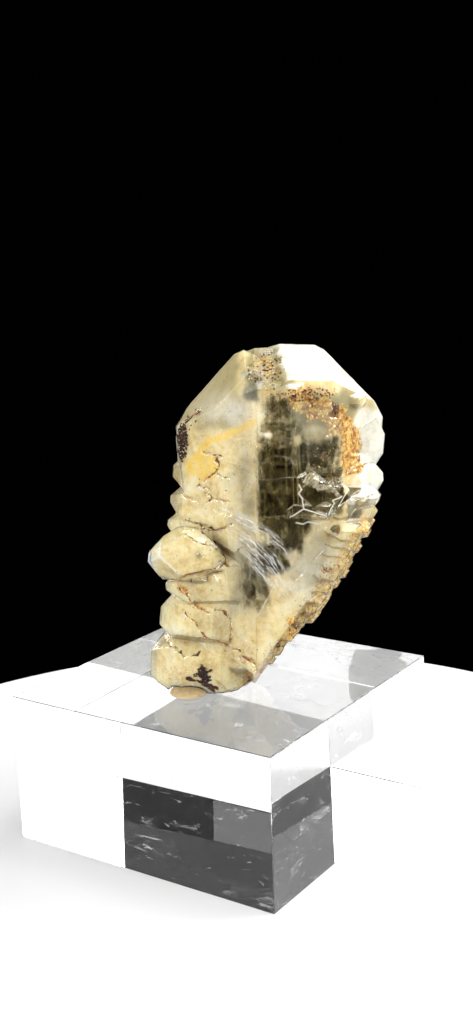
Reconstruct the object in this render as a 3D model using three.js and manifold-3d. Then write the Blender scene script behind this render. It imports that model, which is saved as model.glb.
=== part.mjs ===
// Gwindel quartz standing on a clear acrylic display block.
//
// Frame: millimetres, +Z up, origin at the centre of the block's underside.
// +X and +Y run along the sides of the block.
//
// A gwindel is a stack of quartz individuals. Each one is a short six-sided prism with its
// c axis lying level, and each is turned a little further about the upright stacking axis.
// The individuals are joined here into one solid, as they grew.

import * as THREE from 'three';
import { ConvexGeometry } from 'three/addons/geometries/ConvexGeometry.js';
import { mergeVertices } from 'three/addons/utils/BufferGeometryUtils.js';
import Module from 'manifold-3d';

const wasm = await Module();
wasm.setup();

const degrees = THREE.MathUtils.degToRad;

// ---- driving dimensions ----

const blockSide = 50;
const blockHeight = 25;
const blockBevel = 0.35;

const clearance = 0.3;             // between pieces that touch
const footprint = [2.8, -4.5];        // where the specimen's own axis meets the block
const specimenTurn = degrees(34.2);

const midDepth = 2;                // depth of the stack's middle plane, behind the specimen's axis
const twistCentre = 9;             // how far right of the specimen's axis the stacking axis stands
const twistPerMm = degrees(0.34);  // turn of the stack for each millimetre of height
const twistZero = 30;              // height where the stack faces straight ahead

const bellyHeight = 27;            // middle of the biggest individual
const poleTilt = degrees(51.8);    // from the c axis to the pole of an r or z face of quartz

const tackRadius = [3.2, 3.3];
const tackHeight = 1.3;
const tackPlace = [-5.5, -2.3];

// ---- solids from planes ----

// The corners of a convex solid: every point where three planes meet that no other plane cuts off.
function cornersOf(planes) {
  const corners = [];
  const matrix = new THREE.Matrix3();
  const tolerance = 1e-6;
  for (let i = 0; i < planes.length; i += 1) {
    for (let j = i + 1; j < planes.length; j += 1) {
      for (let k = j + 1; k < planes.length; k += 1) {
        const [p, q, r] = [planes[i], planes[j], planes[k]];
        matrix.set(p.n.x, p.n.y, p.n.z, q.n.x, q.n.y, q.n.z, r.n.x, r.n.y, r.n.z);
        if (Math.abs(matrix.determinant()) < tolerance) continue;
        const corner = new THREE.Vector3(p.d, q.d, r.d).applyMatrix3(matrix.invert());
        const inside = planes.every((plane) => plane.n.dot(corner) <= plane.d + tolerance);
        const isNew = corners.every((other) => other.distanceTo(corner) > 10 * tolerance);
        if (inside && isNew) corners.push(corner);
      }
    }
  }
  return corners;
}

// The planes of one quartz individual in its own axes: c along +X, the back along +Y, and the
// stacking axis along +Z. Its six prism faces m are closed at each end by three faces r and
// three smaller faces z. Each end is a chisel [tip, low, high]: its edge stands `tip` along the c
// axis, and runs from `low` to `high`.
function quartzPlanes({ front, back, up, down, left, right, smallFace = 0.8, rimTilt = 51.8 }) {
  const planes = [];
  const prismReach = { 30: up, 90: back, 150: down, 210: down, 270: front, 330: up };
  for (const [azimuth, reach] of Object.entries(prismReach)) {
    const angle = degrees(Number(azimuth));
    const isFlat = Math.abs(Math.cos(angle)) < 0.5;
    const m = new THREE.Vector3(0, Math.sin(angle), Math.cos(angle));
    planes.push({ n: m, d: isFlat ? reach : reach * Math.cos(degrees(30)) });
    for (const [side, [tip, low, high]] of [[1, right], [-1, left]]) {
      const isLarge = (Number(azimuth) % 120 === 30) === (side === 1);
      const edgeEnd = m.z > 0 ? high : -low;
      const edgeShare = isFlat ? 0 : Math.abs(m.z) * edgeEnd;
      const tilt = side === 1 && m.z < -0.5 ? degrees(rimTilt) : poleTilt;
      const pole = m.clone().multiplyScalar(Math.sin(tilt));
      pole.x = side * Math.cos(tilt);
      const reachOut = Math.cos(tilt) * side * tip + Math.sin(tilt) * edgeShare;
      planes.push({ n: pole, d: reachOut + (isLarge ? 0 : smallFace) });
    }
  }
  return planes;
}

function manifoldOf(geometry) {
  const bare = geometry.clone();
  bare.deleteAttribute('normal');
  bare.deleteAttribute('uv');
  const merged = mergeVertices(bare, 1e-5);
  return new wasm.Manifold(new wasm.Mesh({
    numProp: 3,
    vertProperties: new Float32Array(merged.attributes.position.array),
    triVerts: new Uint32Array(merged.index.array),
  }));
}

function geometryOf(solid) {
  const mesh = solid.getMesh();
  const geometry = new THREE.BufferGeometry();
  geometry.setAttribute('position', new THREE.BufferAttribute(mesh.vertProperties, 3));
  geometry.setIndex(new THREE.BufferAttribute(mesh.triVerts, 1));
  geometry.computeVertexNormals();
  return geometry;
}

function twistAt(height) {
  return twistPerMm * (height - twistZero);
}

// One individual in its place. `lean` tips its c axis down to the right, and `turn` is its own
// misfit on top of the stack's twist, which carries it round the stacking axis. An individual
// that grew on a bigger one takes the twist of that one's height, `host`.
function individual({ at, lean = 0, turn = 0, host = at[2], ...shape }) {
  const geometry = new ConvexGeometry(cornersOf(quartzPlanes(shape)));
  const [x, y, z] = at;
  geometry.rotateY(degrees(lean));
  geometry.rotateZ(degrees(turn));
  geometry.translate(x - twistCentre, y, z);
  geometry.rotateZ(twistAt(host));
  geometry.translate(twistCentre, midDepth, 0);
  return manifoldOf(geometry);
}

// ---- the crystal ----

// The big individuals: two that share the crown, the shoulder below it, the belly and the foot.
// Each end is [tip, low, high].
const mainStack = [
  {
    at: [9, 0, 42], lean: 1, turn: -3, front: 9, back: 8.6, up: 13.3, down: 13,
    left: [-12.6, -9, 4], right: [15, -5, 4],
  },
  {
    at: [14, 0, 42], lean: 4.5, turn: 5, front: 8, back: 9, up: 13.6, down: 10,
    left: [-16, -6, 3], right: [12.8, -5, 3.2],
  },
  {
    at: [5.4, -1.6, 42], lean: -4, turn: -3, front: 5.4, back: 9.4, up: 13.3, down: 23,
    left: [-10.6, -15, 3.3], right: [12, -5, 3],
  },
  {
    at: [9, 0, bellyHeight], lean: 1, turn: 0, front: 9, back: 9, up: 14.5, down: 28, rimTilt: 39.2,
    left: [-13, -19, 9], right: [15.9, 0.8, 9],
  },
  {
    at: [2, -0.6, 8], lean: 3, turn: 2, front: 7.4, back: 7.6, up: 12, down: 11, rimTilt: 43,
    left: [-9, -3, 7], right: [7.6, -1.4, 6],
  },
];

// Lesser individuals that stand out of the left edge, from the top down.
const leftStack = [
  {
    at: [0.8, -1, 40], lean: -2, turn: -29, front: 2.8, back: 7, up: 4, down: 4,
    left: [-6.8, -3.2, 2.6], right: [6, -1, 1],
  },
  {
    at: [0.6, -1.2, 35], lean: 5, turn: -24, front: 3.6, back: 7, up: 4.2, down: 4,
    left: [-7.2, -1.6, 2], right: [6, -1, 1],
  },
  {
    at: [0.4, -1.8, 30.2], lean: 8, turn: -28, front: 3.6, back: 7, up: 4, down: 4,
    left: [-8, -1.6, 1.2], right: [6, -1, 1],
  },
  {
    at: [-1, -2.6, 27], lean: 12, turn: -18, front: 3.6, back: 6, up: 3.6, down: 4.4,
    left: [-6.5, -2, 0.6], right: [5, -1, 1],
  },
  {
    at: [-4, -8.2, 24.2], lean: 9, turn: -3, front: 1.5, back: 9, up: 4.5, down: 4.6,
    left: [-5.9, -2.8, 0.4], right: [5, -1.4, 1],
  },
  {
    at: [-1, -6, 18.6], lean: -3, turn: -1, front: 3, back: 8, up: 4.8, down: 3.8,
    left: [-6.4, -1.2, 1.6], right: [7, -0.6, 1],
  },
  {
    at: [-2, -5.4, 12.6], lean: 7, turn: -5, front: 3.2, back: 8, up: 4.8, down: 4.2,
    left: [-6.6, -2.8, 2], right: [6, -1, 1.6],
  },
  {
    at: [-3, -2.6, 3.6], lean: 3, turn: 5, front: 5, back: 7, up: 6, down: 9,
    left: [-7.9, -3, 3], right: [10.2, 0, 1.6],
  },
];

// Small individuals that end the right edge above the rim.
const rightStack = [
  {
    at: [20, 1, 39.6], lean: 6, turn: 2, front: 5.5, back: 6, up: 5, down: 5,
    left: [-5, -1, 1], right: [7, -2.4, 2.6],
  },
  {
    at: [19, 0, 33.6], lean: -2, turn: -3, front: 6, back: 6.5, up: 4.4, down: 4.4,
    left: [-5, -1, 1], right: [7.4, -1.4, 1.6],
  },
  {
    at: [18, 0, 28.8], lean: 4, turn: 3, front: 6, back: 6.5, up: 3.6, down: 4,
    left: [-5, -1, 1], right: [7.5, -1, 1],
  },
];

// Growth steps and little crystals that stand a millimetre or two proud of the front.
const frontSteps = [
  { at: [14.8, -7.4, 33.8], lean: 2, turn: 3, size: [0.9, 2.2], proud: 2 },
  { at: [17.2, -6.3, 32.8], lean: 6, turn: 8, size: [1.7, 1.6], proud: 2 },
  { at: [14.6, -8.3, 30.8], lean: 4, turn: 2, size: [2.8, 0.9], proud: 1 },
  { at: [19.4, -4.6, 30.2], lean: -10, turn: 12, size: [1, 1.4], proud: 1.6 },
  { at: [18.6, -5, 27.2], lean: 10, turn: 6, size: [0.9, 0.8], proud: 1.4 },
  { at: [22.6, -2.4, 31], lean: -6, turn: 14, size: [1.8, 0.9], proud: 1.6 },
  { at: [21.4, -3.6, 47], lean: 8, turn: 10, size: [1.2, 0.6], proud: 1.2 },
];

// Broad, low terraces on the back.
const backSteps = [
  { at: [7, 4.4, 43.6], lean: -3, turn: 1, size: [3, 2.2], proud: 4.2 },
  { at: [17.4, 5.8, 39], lean: 4, turn: -2, size: [3.4, 4], proud: 4.2 },
  { at: [11, 5.4, 30.6], lean: -2, turn: 3, size: [4.6, 3.2], proud: 4.2 },
  { at: [9, 5.6, 17.4], lean: 3, turn: -3, size: [3.4, 4.2], proud: 4 },
  { at: [16, 6, 22.6], lean: 5, turn: 2, size: [2.6, 1.8], proud: 3.4 },
];

// A step is a little individual whose outer face measures `size` either way from its middle.
function step({ at, lean, turn, size, proud }) {
  const [across, tall] = size;
  const tip = across + proud * Math.tan(poleTilt);
  const rise = tall + proud * Math.tan(degrees(30));
  return individual({
    at, lean, turn, front: proud, back: proud, up: rise, down: rise, smallFace: 0.3,
    left: [-tip, -0.2, 0.2], right: [tip, -0.2, 0.2],
  });
}

// The stack's individuals show down the back of the left edge too.
const backCount = 8;

function backIndividual(i) {
  const share = i / (backCount - 1);
  const rise = 3.6 + 0.6 * Math.sin(1.7 * i);
  return individual({
    at: [0.8 + 0.5 * Math.sin(2.3 * i), 2.2, THREE.MathUtils.lerp(38, 5.4, share)],
    lean: 8 * Math.sin(1.3 * i), turn: 25 + 5 * Math.sin(2.1 * i),
    front: 5, back: 2.4 + 0.5 * Math.sin(2.9 * i), up: rise, down: rise,
    left: [-THREE.MathUtils.lerp(6, 9.6, share), -1, 1], right: [7, -1, 1],
  });
}

// The rim down the lower right is where many thin individuals end, tooth by tooth. It runs
// from rimTop to rimFoot, [right, up], and swells by rimBulge half way down.
// Its rows in front of and behind the middle plane step inward along the belly's end faces.
const rimTop = [25.7, 26.4];
const rimFoot = [7.9, 3];
const rimBulge = 1.5;
const rimTeeth = 17;
const rimRows = [-6, -3.6, -1.2, 1.2, 3.8, 6.2];
const rowInset = 0.36;
const rimSeed = 24;
const rimLength = Math.hypot(rimTop[0] - rimFoot[0], rimTop[1] - rimFoot[1]);
const inward = [(rimFoot[1] - rimTop[1]) / rimLength, (rimTop[0] - rimFoot[0]) / rimLength];

function uneven(spread) {
  return spread * (2 * THREE.MathUtils.seededRandom() - 1);
}

function tooth(row, i) {
  const share = (i + uneven(0.45)) / (rimTeeth - 1);
  const swell = rimBulge * Math.sin(Math.PI * share) ** 2;
  const inset = rowInset * Math.abs(row) + uneven(0.3) - swell;
  const x = THREE.MathUtils.lerp(rimTop[0], rimFoot[0], share) + inset * inward[0];
  const z = THREE.MathUtils.lerp(rimTop[1], rimFoot[1], share) + inset * inward[1];
  const height = 1.5 + uneven(0.4);
  return individual({
    at: [x - 3, row + uneven(0.5), z], lean: uneven(5), turn: uneven(7), host: bellyHeight,
    front: 1.9, back: 2.1, up: height, down: height, left: [-2, -0.2, 0.2], right: [3.1, -0.1, 0.1],
  });
}

function rim() {
  THREE.MathUtils.seededRandom(rimSeed);
  const teeth = [];
  for (const row of rimRows) {
    for (let i = 0; i < rimTeeth; i += 1) teeth.push(tooth(row, i));
  }
  return teeth;
}

const grown = [
  ...[...mainStack, ...leftStack, ...rightStack].map(individual),
  ...[...frontSteps, ...backSteps].map(step),
  ...Array.from({ length: backCount }, (_, i) => backIndividual(i)),
  ...rim(),
];

function boxSolid(width, depth, height, place) {
  const geometry = new THREE.BoxGeometry(width, depth, height);
  geometry.translate(...place);
  return manifoldOf(geometry);
}

// The tack is a squashed ball pressed flat on the block. The crystal's foot is hollow over it.
function tackSolid(grow) {
  const geometry = new THREE.SphereGeometry(1, 28, 14);
  geometry.rotateX(degrees(90));
  geometry.scale(tackRadius[0] + grow, tackRadius[1] + grow, tackHeight + grow);
  geometry.translate(tackPlace[0], tackPlace[1], 0);
  const upperHalf = boxSolid(30, 30, 10, [tackPlace[0], tackPlace[1], 5 + clearance / 2]);
  return manifoldOf(geometry).intersect(upperHalf);
}

const below = boxSolid(80, 80, 20, [0, 0, clearance - 10]);
const grownSolid = grown.reduce((sum, next) => sum.add(next)).subtract(below);

// Small pockets close between the teeth. Quartz fills them: only the outermost skin is kept.
const skins = grownSolid.subtract(tackSolid(clearance)).decompose();
const crystalSolid = skins.reduce((outer, skin) => (skin.volume() > outer.volume() ? skin : outer));

// ---- the display ----

const quartzColour = new THREE.MeshStandardMaterial({ color: 0xe0cda2, roughness: 0.15, metalness: 0 });
const acrylicColour = new THREE.MeshStandardMaterial({ color: 0xf4f6f6, roughness: 0.05, metalness: 0 });
const tackColour = new THREE.MeshStandardMaterial({ color: 0xa88f5e, roughness: 0.7, metalness: 0 });

function named(name, geometry, material) {
  const mesh = new THREE.Mesh(geometry, material);
  mesh.name = name;
  return mesh;
}

function bevelledBlock() {
  const half = blockSide / 2 - blockBevel;
  const outline = new THREE.Shape();
  outline.moveTo(-half, -half);
  outline.lineTo(half, -half);
  outline.lineTo(half, half);
  outline.lineTo(-half, half);
  outline.closePath();
  const geometry = new THREE.ExtrudeGeometry(outline, {
    depth: blockHeight - 2 * blockBevel, bevelThickness: blockBevel, bevelSize: blockBevel, bevelSegments: 1,
  });
  geometry.translate(0, 0, blockBevel);
  return geometry;
}

const specimen = new THREE.Group();
specimen.position.set(footprint[0], footprint[1], blockHeight);
specimen.rotation.z = specimenTurn;
specimen.add(named('gwindel_crystal', geometryOf(crystalSolid), quartzColour));
specimen.add(named('mineral_tack', geometryOf(tackSolid(0)), tackColour));

const display = new THREE.Group();
display.add(named('acrylic_block', bevelledBlock(), acrylicColour), specimen);

export default display;
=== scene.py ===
import math

import bmesh
import bpy
import numpy as np
from mathutils import Matrix, Vector, noise
from mathutils.bvhtree import BVHTree


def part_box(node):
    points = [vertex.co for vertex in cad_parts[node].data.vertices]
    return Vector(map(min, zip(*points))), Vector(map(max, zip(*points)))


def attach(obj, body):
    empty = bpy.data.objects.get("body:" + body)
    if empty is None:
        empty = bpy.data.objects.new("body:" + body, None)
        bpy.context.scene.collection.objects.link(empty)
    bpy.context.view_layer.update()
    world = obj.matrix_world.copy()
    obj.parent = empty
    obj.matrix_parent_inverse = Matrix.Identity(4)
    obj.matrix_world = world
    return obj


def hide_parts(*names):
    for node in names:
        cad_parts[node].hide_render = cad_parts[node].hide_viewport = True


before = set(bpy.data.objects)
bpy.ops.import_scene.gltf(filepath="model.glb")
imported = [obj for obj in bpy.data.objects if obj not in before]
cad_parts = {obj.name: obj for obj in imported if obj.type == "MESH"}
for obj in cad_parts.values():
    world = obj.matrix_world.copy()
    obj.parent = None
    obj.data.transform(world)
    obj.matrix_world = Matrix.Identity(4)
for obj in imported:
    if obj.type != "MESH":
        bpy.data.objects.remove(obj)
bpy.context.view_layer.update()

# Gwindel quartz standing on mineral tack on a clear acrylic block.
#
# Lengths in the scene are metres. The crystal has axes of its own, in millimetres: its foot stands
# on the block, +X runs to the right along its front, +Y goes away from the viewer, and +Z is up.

MM = 0.001
QUARTZ_IOR = 1.544
ACRYLIC_IOR = 1.49

BLOCK_LOW, BLOCK_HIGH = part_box("acrylic_block")
SPECIMEN_TURN = math.radians(34.2)
SPECIMEN_FOOT = Vector((2.8 * MM, -4.5 * MM, BLOCK_HIGH.z))

# How far back the looks of the front reach, as y in the crystal's own axes.
MILK_FRONT = 0.5
SEAM_FRONT = 1.5
STAIN_FRONT = 2.0

# Crystal faces that meet at more than this many degrees keep a sharp edge between them.
FACET_ANGLE = 13

# From the crystal's own axes to the shared frame, and back.
to_row = (
    Matrix.Translation(SPECIMEN_FOOT)
    @ Matrix.Rotation(SPECIMEN_TURN, 4, "Z")
    @ Matrix.Scale(MM, 4)
)
to_specimen = to_row.inverted()


# ---- meshes ----

MERGE_DISTANCE = 1e-7
# Nine halvings bring a 50 mm edge down to 0.1 mm.
MOST_HALVINGS = 9
# Blender's noise stays within about 0.6 of zero, and this brings it to about 1.
NOISE_GAIN = 1.6
# Each seed moves the noise by this much, in features.
SEED_STEP = np.array([17.3, 5.1, 11.7])


def mesh_object(name, points, faces, smooth_angle=None):
    """A new object in the shared frame, in metres, from points and faces."""
    mesh = bpy.data.meshes.new(name)
    if isinstance(faces, np.ndarray):
        faces = faces.tolist()
    mesh.from_pydata(np.asarray(points).tolist(), [], faces)
    mesh.update()
    if smooth_angle is not None:
        mesh.shade_smooth()
        mesh.set_sharp_from_angle(angle=math.radians(smooth_angle))
    piece = bpy.data.objects.new(name, mesh)
    bpy.context.scene.collection.objects.link(piece)
    return piece


def arrays_of(mesh):
    """A triangulated mesh's points and faces as arrays, with points in the same place merged."""
    mesh.calc_loop_triangles()
    points = np.empty(len(mesh.vertices) * 3)
    mesh.vertices.foreach_get("co", points)
    faces = np.empty(len(mesh.loop_triangles) * 3, int)
    mesh.loop_triangles.foreach_get("vertices", faces)
    keys = np.round(points.reshape(-1, 3) / MERGE_DISTANCE).astype(np.int64)
    _, first, place = np.unique(keys, axis=0, return_index=True, return_inverse=True)
    faces = place.reshape(-1)[faces].reshape(-1, 3)
    whole = (faces[:, 0] != faces[:, 1]) & (faces[:, 1] != faces[:, 2]) & (faces[:, 2] != faces[:, 0])
    return points.reshape(-1, 3)[first], faces[whole]


def moved(points, matrix):
    """The points after a Blender matrix."""
    rotation = np.array(matrix.to_3x3())
    return points @ rotation.T + np.array(matrix.translation)


def refined(points, faces, finest, longest):
    """The same surface with its long edges halved.

    An edge may stay when it is under `finest`, or under what `longest` returns for its middle.
    """
    for _ in range(MOST_HALVINGS):
        corners = np.stack([faces, np.roll(faces, -1, axis=1)], axis=2)
        starts, ends = points[corners[:, :, 0]], points[corners[:, :, 1]]
        lengths = np.linalg.norm(starts - ends, axis=2)
        is_long = lengths > finest
        is_long[is_long] = lengths[is_long] > longest((starts[is_long] + ends[is_long]) / 2)
        edges = np.sort(corners[is_long], axis=1)
        edges, place = np.unique(edges, axis=0, return_inverse=True)
        middle = np.full(faces.shape, -1)
        middle[is_long] = len(points) + place.reshape(-1)
        points = np.vstack([points, points[edges].mean(axis=1)])
        count = is_long.sum(axis=1)
        parts = [faces[count == 0]]

        f, m = faces[count == 3], middle[count == 3]
        parts += [
            np.stack([f[:, 0], m[:, 0], m[:, 2]], 1),
            np.stack([m[:, 0], f[:, 1], m[:, 1]], 1),
            np.stack([m[:, 2], m[:, 1], f[:, 2]], 1),
            m,
        ]
        for turn in range(3):
            f, m = np.roll(faces, -turn, axis=1), np.roll(middle, -turn, axis=1)
            one = (count == 1) & (m[:, 0] >= 0)
            parts += [
                np.stack([f[one, 0], m[one, 0], f[one, 2]], 1),
                np.stack([m[one, 0], f[one, 1], f[one, 2]], 1),
            ]
            two = (count == 2) & (m[:, 2] < 0)
            parts += [
                np.stack([m[two, 0], f[two, 1], m[two, 1]], 1),
                np.stack([f[two, 0], m[two, 0], m[two, 1]], 1),
                np.stack([f[two, 0], m[two, 1], f[two, 2]], 1),
            ]
        faces = np.vstack(parts)
    return points, faces


def face_normals(points, faces):
    """The faces' normals, each as long as twice the face's area."""
    a, b, c = points[faces[:, 0]], points[faces[:, 1]], points[faces[:, 2]]
    return np.cross(b - a, c - a)


def point_normals(points, faces):
    """Area-weighted normals at the points."""
    weighted = face_normals(points, faces)
    normals = np.zeros_like(points)
    for corner in range(3):
        np.add.at(normals, faces[:, corner], weighted)
    return normals / np.maximum(np.linalg.norm(normals, axis=1, keepdims=True), 1e-20)


def noise_at(points, scale, seed):
    """Smooth noise, about -1 to 1, with features of about `scale` in the points' units."""
    stretch = np.array(scale) * np.ones(3)
    shifted = points / stretch + seed * SEED_STEP
    return np.array([noise.noise(p) for p in shifted.tolist()]) * NOISE_GAIN


def step_between(value, low, high):
    """0 up to `low`, 1 from `high`, and a smooth step between them."""
    share = np.clip((value - low) / (high - low), 0, 1)
    return share * share * (3 - 2 * share)


def set_attribute(piece, name, values):
    """Stores a value at each of the mesh's points, for the material to read."""
    attribute = piece.data.attributes.new(name, "FLOAT", "POINT")
    attribute.data.foreach_set("value", np.asarray(values, np.float32))


# ---- materials ----

class Material:
    """A material's node tree, with one short call for each node."""

    def __init__(self, name):
        self.data = bpy.data.materials.new(name)
        self.data.use_nodes = True
        self.tree = self.data.node_tree
        self.tree.nodes.clear()
        self.output = self.tree.nodes.new("ShaderNodeOutputMaterial")

    def join(self, socket, value):
        """Links a socket to another, or sets its own value."""
        if isinstance(value, bpy.types.NodeSocket):
            self.tree.links.new(value, socket)
        elif isinstance(value, tuple) and len(value) == 3 and socket.type == "RGBA":
            socket.default_value = (*value, 1)
        else:
            socket.default_value = value

    def node(self, kind, inputs=None, **settings):
        """A shader node with its inputs joined and its settings made."""
        made = self.tree.nodes.new("ShaderNode" + kind)
        for name, value in settings.items():
            setattr(made, name, value)
        for name, value in (inputs or {}).items():
            self.join(made.inputs[name], value)
        return made

    def principled(self, inputs):
        shader = self.node("BsdfPrincipled", inputs)
        self.tree.links.new(shader.outputs[0], self.output.inputs["Surface"])

    def glass(self, inputs, lamp_colour):
        """Clear glass that lets lamps shine through it."""
        shader = self.node("BsdfPrincipled", {"Transmission Weight": 1.0, **inputs})
        lamp = self.node("BsdfTransparent", {"Color": lamp_colour})
        is_shadow = self.node("LightPath").outputs["Is Shadow Ray"]
        both = self.node("MixShader", {0: is_shadow, 1: shader.outputs[0], 2: lamp.outputs[0]})
        self.tree.links.new(both.outputs[0], self.output.inputs["Surface"])

    def place(self, stretch=(1, 1, 1)):
        """The place in the specimen's own axes, in millimetres, divided by `stretch`."""
        foot = self.node("Mapping", {
            "Vector": self.node("TexCoord").outputs["Object"], "Location": -SPECIMEN_FOOT,
        })
        return self.node("Mapping", {
            "Vector": foot.outputs[0], "Rotation": (0, 0, -SPECIMEN_TURN),
            "Scale": tuple(1 / MM / s for s in stretch),
        }).outputs[0]

    def noise(self, place, size, detail=4.0, roughness=0.55, distortion=0.0):
        """Fractal noise from 0 to 1, with features of about `size` in the place's units."""
        return self.node("TexNoise", {
            "Vector": place, "Scale": 1 / size, "Detail": detail, "Roughness": roughness,
            "Distortion": distortion,
        }).outputs["Fac"]

    def ramp(self, value, *stops):
        """A colour for the value, from (position, colour) stops."""
        made = self.node("ValToRGB", {"Fac": value})
        elements = made.color_ramp.elements
        while len(elements) < len(stops):
            elements.new(0.5)
        for element, (at, colour) in zip(elements, stops):
            element.position = at
            element.color = (*colour, 1)
        return made.outputs["Color"]

    def span(self, value, low, high, to_low=0.0, to_high=1.0):
        """The value brought from one range to another, and held inside it."""
        return self.node("MapRange", {
            "Value": value, "From Min": low, "From Max": high, "To Min": to_low, "To Max": to_high,
        }).outputs["Result"]

    def maths(self, operation, a, b=0.0):
        made = self.node("Math", operation=operation)
        self.join(made.inputs[0], a)
        self.join(made.inputs[1], b)
        return made.outputs[0]

    def mixed(self, share, a, b):
        """Colour `a`, with `b` over it by `share`."""
        # A Mix node's colours go in at 6 and 7, and come out at 2.
        made = self.node("Mix", data_type="RGBA")
        self.join(made.inputs[0], share)
        self.join(made.inputs[6], a)
        self.join(made.inputs[7], b)
        return made.outputs[2]

    def attribute(self, name):
        return self.node("Attribute", attribute_name=name).outputs["Fac"]

    def bump(self, height, strength, distance):
        """A normal with fine relief, `distance` in millimetres."""
        return self.node("Bump", {
            "Height": height, "Strength": strength, "Distance": distance * MM,
        }).outputs[0]


def dress(piece, material, cad_node=None):
    """Gives a piece its material and ties it to the frame."""
    piece.data.materials.append(material)
    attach(piece, "root")
    if cad_node:
        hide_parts(cad_node)


# ---- lines and patches on the crystal, as (x, z) in its own axes ----

# Seams between the individuals of the gwindel: filled with manganese or with rust, clean, and
# on the back. The last clean one is the closed outline of a three-sided etch pit.
DARK_SEAMS = [
    [(0.4, 36.8), (1.1, 36.5), (2.1, 36.2)],
    [(-4.9, 29.2), (-3.4, 28.7), (-1.8, 28.3), (-0.3, 27.6), (0.8, 28.1), (2.4, 28.7)],
    [(-4.9, 27.9), (-3.7, 26.8), (-2.6, 26.5), (-0.8, 25.8), (0.6, 24.6)],
    [(-5.3, 21.0), (-3.8, 21.3), (-2.0, 21.8), (-0.5, 21.9), (0.5, 22.6)],
    [(-4.4, 20.3), (-2.8, 20.8), (-1.0, 21.1), (0.6, 21.3)],
    [(-0.7, 15.2), (0.8, 14.2), (1.6, 13.2), (1.8, 11.1), (1.6, 9.4), (1.4, 8.1)],
    [(-9.3, 8.0), (-7.5, 7.8), (-5.7, 6.7), (-3.5, 7.1)],
    [(-5.4, 14.6), (-4.4, 13.3), (-3.2, 11.7), (-2.3, 10.3)],
    [(21.3, 36.0), (23.3, 36.2), (26.0, 36.8)],
    [(21.5, 31.6), (23.4, 31.3), (25.2, 31.9)],
    [(-4.7, 44.1), (-3.9, 44.9), (-3.1, 45.7), (-2.1, 46.3)],
]
RUST_SEAMS = [
    [(-1.7, 40.1), (-0.3, 39.7), (1.2, 39.5)],
    [(0.2, 39.3), (0.6, 38.3), (0.2, 37.1), (-1.1, 36.0), (-1.9, 35.2)],
    [(-2.7, 34.6), (-1.8, 34.3), (-0.8, 34.2)],
    [(-1.3, 33.3), (-0.6, 32.6), (-1.4, 32.0)],
    [(-0.3, 32.7), (1.0, 32.7), (2.2, 32.4)],
    [(-2.4, 28.0), (-1.0, 27.4), (0.6, 27.7)],
    [(0.2, 23.2), (1.3, 22.5), (2.2, 22.2)],
    [(-6.2, 19.2), (-5.4, 18.4), (-4.9, 17.8)],
    [(-4.6, 17.2), (-3.7, 15.8), (-2.3, 14.9), (-1.6, 14.4)],
    [(-3.3, 10.3), (-1.7, 10.2), (-0.1, 9.4), (1.7, 7.9), (3.0, 7.6)],
    [(3.0, 6.7), (4.6, 6.6), (5.5, 5.5), (5.8, 4.5)],
    [(18.2, 47.5), (19.2, 46.8), (19.7, 45.8), (19.4, 44.9), (18.2, 45.3)],
]
FINE_SEAMS = [
    [(-10.6, 23.2), (-9.1, 21.3), (-7.4, 19.4), (-5.6, 18.5)],
    [(11.7, 19.6), (14.2, 21.8), (17.0, 24.2)],
    [(-0.2, 31.0), (1.4, 30.2), (2.6, 30.4)],
    [(-5.6, 33.0), (-4.0, 32.0), (-2.4, 31.6)],
    [(-3.0, 25.2), (-3.4, 23.7), (-2.2, 24.2), (-3.0, 25.2)],
]
BACK_SEAMS = [
    [(-4.0, 42.0), (0.5, 41.0), (4.0, 41.6), (7.5, 40.2)],
    [(-5.0, 34.0), (-1.0, 33.0), (3.5, 33.8), (6.0, 32.2)],
    [(-6.0, 27.0), (-2.0, 26.0), (2.5, 26.4), (7.0, 24.8), (9.0, 25.2)],
    [(-5.0, 19.5), (-1.0, 18.4), (4.0, 19.0)],
    [(-6.0, 12.0), (-2.0, 11.2), (3.0, 11.8), (6.5, 10.4)],
    [(14.0, 46.0), (18.0, 44.6), (21.0, 45.2)],
    [(12.0, 37.5), (16.5, 36.4), (21.5, 37.2)],
    [(11.0, 30.0), (15.0, 28.9), (20.0, 29.6)],
]

# Closed outlines of small features at the right of the clear window.
WHITE_STEPS = [
    [
        (13.5, 35.4), (14.1, 36.3), (14.6, 36.7), (15.3, 36.8),
        (16.0, 36.3), (16.3, 35.7), (16.1, 35.1), (15.4, 34.5),
    ],
    [
        (15.5, 34.3), (16.2, 35.1), (17.3, 34.7), (18.4, 34.4),
        (19.0, 33.5), (19.7, 32.7), (19.3, 32.2), (18.3, 33.5),
    ],
]
DARK_PITS = [
    [(19.1, 31.1), (20.1, 32.5), (21.0, 33.4), (23.5, 32.8), (22.7, 32.0), (21.1, 31.8), (20.6, 31.7)],
    [(17.7, 27.1), (18.2, 27.8), (19.2, 28.0), (19.4, 27.5), (19.0, 26.7)],
]
GREY_FACET = [
    (20.7, 31.6), (22.5, 31.4), (24.6, 31.4), (25.9, 31.1),
    (25.5, 29.9), (24.8, 27.9), (22.7, 27.7), (20.6, 28.2),
]

# Step edges that catch the light: in the window, and on the large individual at the left.
WINDOW_EDGES = [
    [(13.0, 35.1), (13.3, 34.3), (12.9, 33.7), (13.5, 32.8), (13.6, 31.3)],
    [(11.5, 30.0), (12.6, 30.7), (13.6, 31.3), (15.5, 30.6), (17.1, 30.0)],
    [(12.4, 29.1), (13.6, 28.8), (14.3, 29.0), (16.0, 28.3), (17.0, 28.4), (17.3, 29.5)],
    [(19.7, 32.7), (18.2, 32.2), (18.5, 31.7), (17.9, 31.1), (17.6, 30.2)],
]
LARGE_EDGES = [
    [(-8.9, 26.2), (-9.1, 24.4), (-6.3, 21.5)],
    [(-9.1, 24.4), (-10.6, 23.2)],
]
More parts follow.
